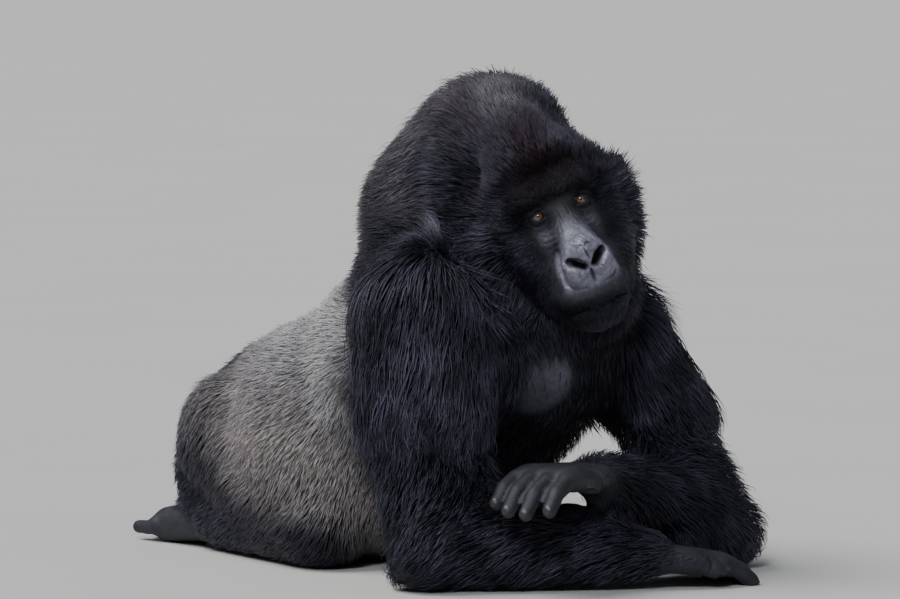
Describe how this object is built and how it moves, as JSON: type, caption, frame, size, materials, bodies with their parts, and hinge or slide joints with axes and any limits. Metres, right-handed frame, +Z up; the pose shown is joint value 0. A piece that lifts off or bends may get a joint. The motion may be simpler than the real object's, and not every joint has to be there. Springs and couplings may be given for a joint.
{
  "type": "mountain gorilla model",
  "caption": "Life-size model of a silverback mountain gorilla at rest, leaning on folded forearms with its knees tucked under the belly and its head turned.",
  "frame": {"origin": "on the floor, under the middle of the model's box", "axes": "+Z up; the chest faces -Y and the tail end +Y, so the animal's right side is -X"},
  "size_m": [0.705, 1.091, 0.7751],
  "materials": {
    "brown_black_coat": "long soft black hair with a brown cast",
    "black_coat": "long black hair with a blue sheen",
    "silver_coat": "short grizzled silver-grey hair",
    "bare_skin": "near-black wrinkled skin, satin",
    "eye": "amber-brown, glossy"
  },
  "bodies": {
    "root": {"head": "brown_black_coat", "neck": "brown_black_coat", "trunk": "silver_coat", "upper_arm_right": "black_coat", "forearm_right": "black_coat", "thigh_right": "black_coat", "lower_leg_right": "black_coat", "hand_right": "bare_skin", "foot_right": "bare_skin", "ear_right": "bare_skin", "eye_right": "eye", "upper_arm_left": "black_coat", "forearm_left": "black_coat", "thigh_left": "black_coat", "lower_leg_left": "black_coat", "hand_left": "bare_skin", "foot_left": "bare_skin", "ear_left": "bare_skin", "eye_left": "eye"}
  },
  "joints": []
}
